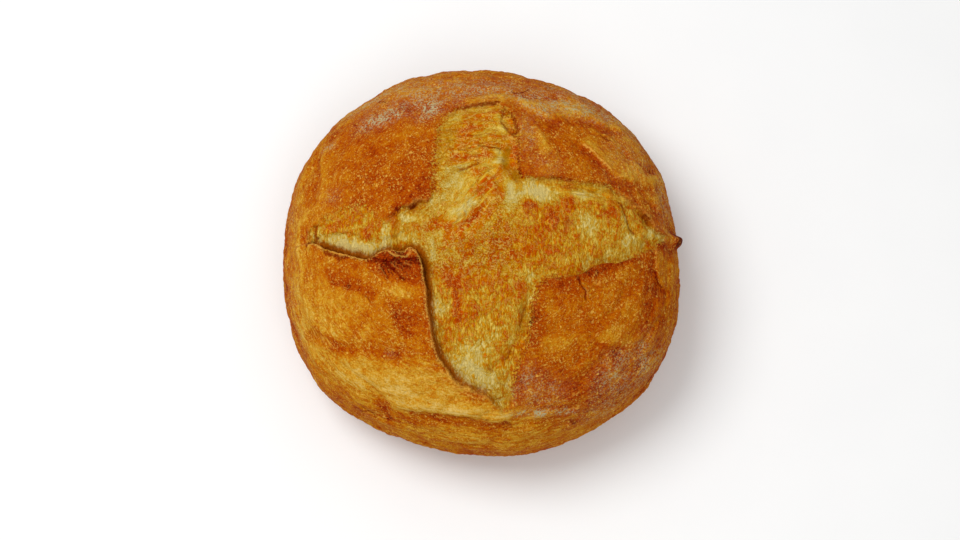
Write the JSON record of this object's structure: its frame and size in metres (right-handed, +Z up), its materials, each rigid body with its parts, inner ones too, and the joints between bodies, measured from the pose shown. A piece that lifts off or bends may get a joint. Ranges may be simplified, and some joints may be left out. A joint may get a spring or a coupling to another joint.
{
  "type": "sourdough loaf",
  "caption": "Round crusty hearth loaf with a cross-scored top that has opened in baking; stands on its flat base as food or table dressing.",
  "frame": {"origin": "middle of the loaf's footprint box, at the level of its flat base", "axes": "+Z up through the crown; -Y towards the front, the side of the longest arm of the cross; +X to the right"},
  "size_m": [0.2112, 0.2092, 0.0945],
  "materials": {
    "crust": "baked golden-brown crust with paler torn crumb in the cross and a dusting of flour"
  },
  "bodies": {
    "root": {"loaf": "crust"}
  },
  "joints": []
}
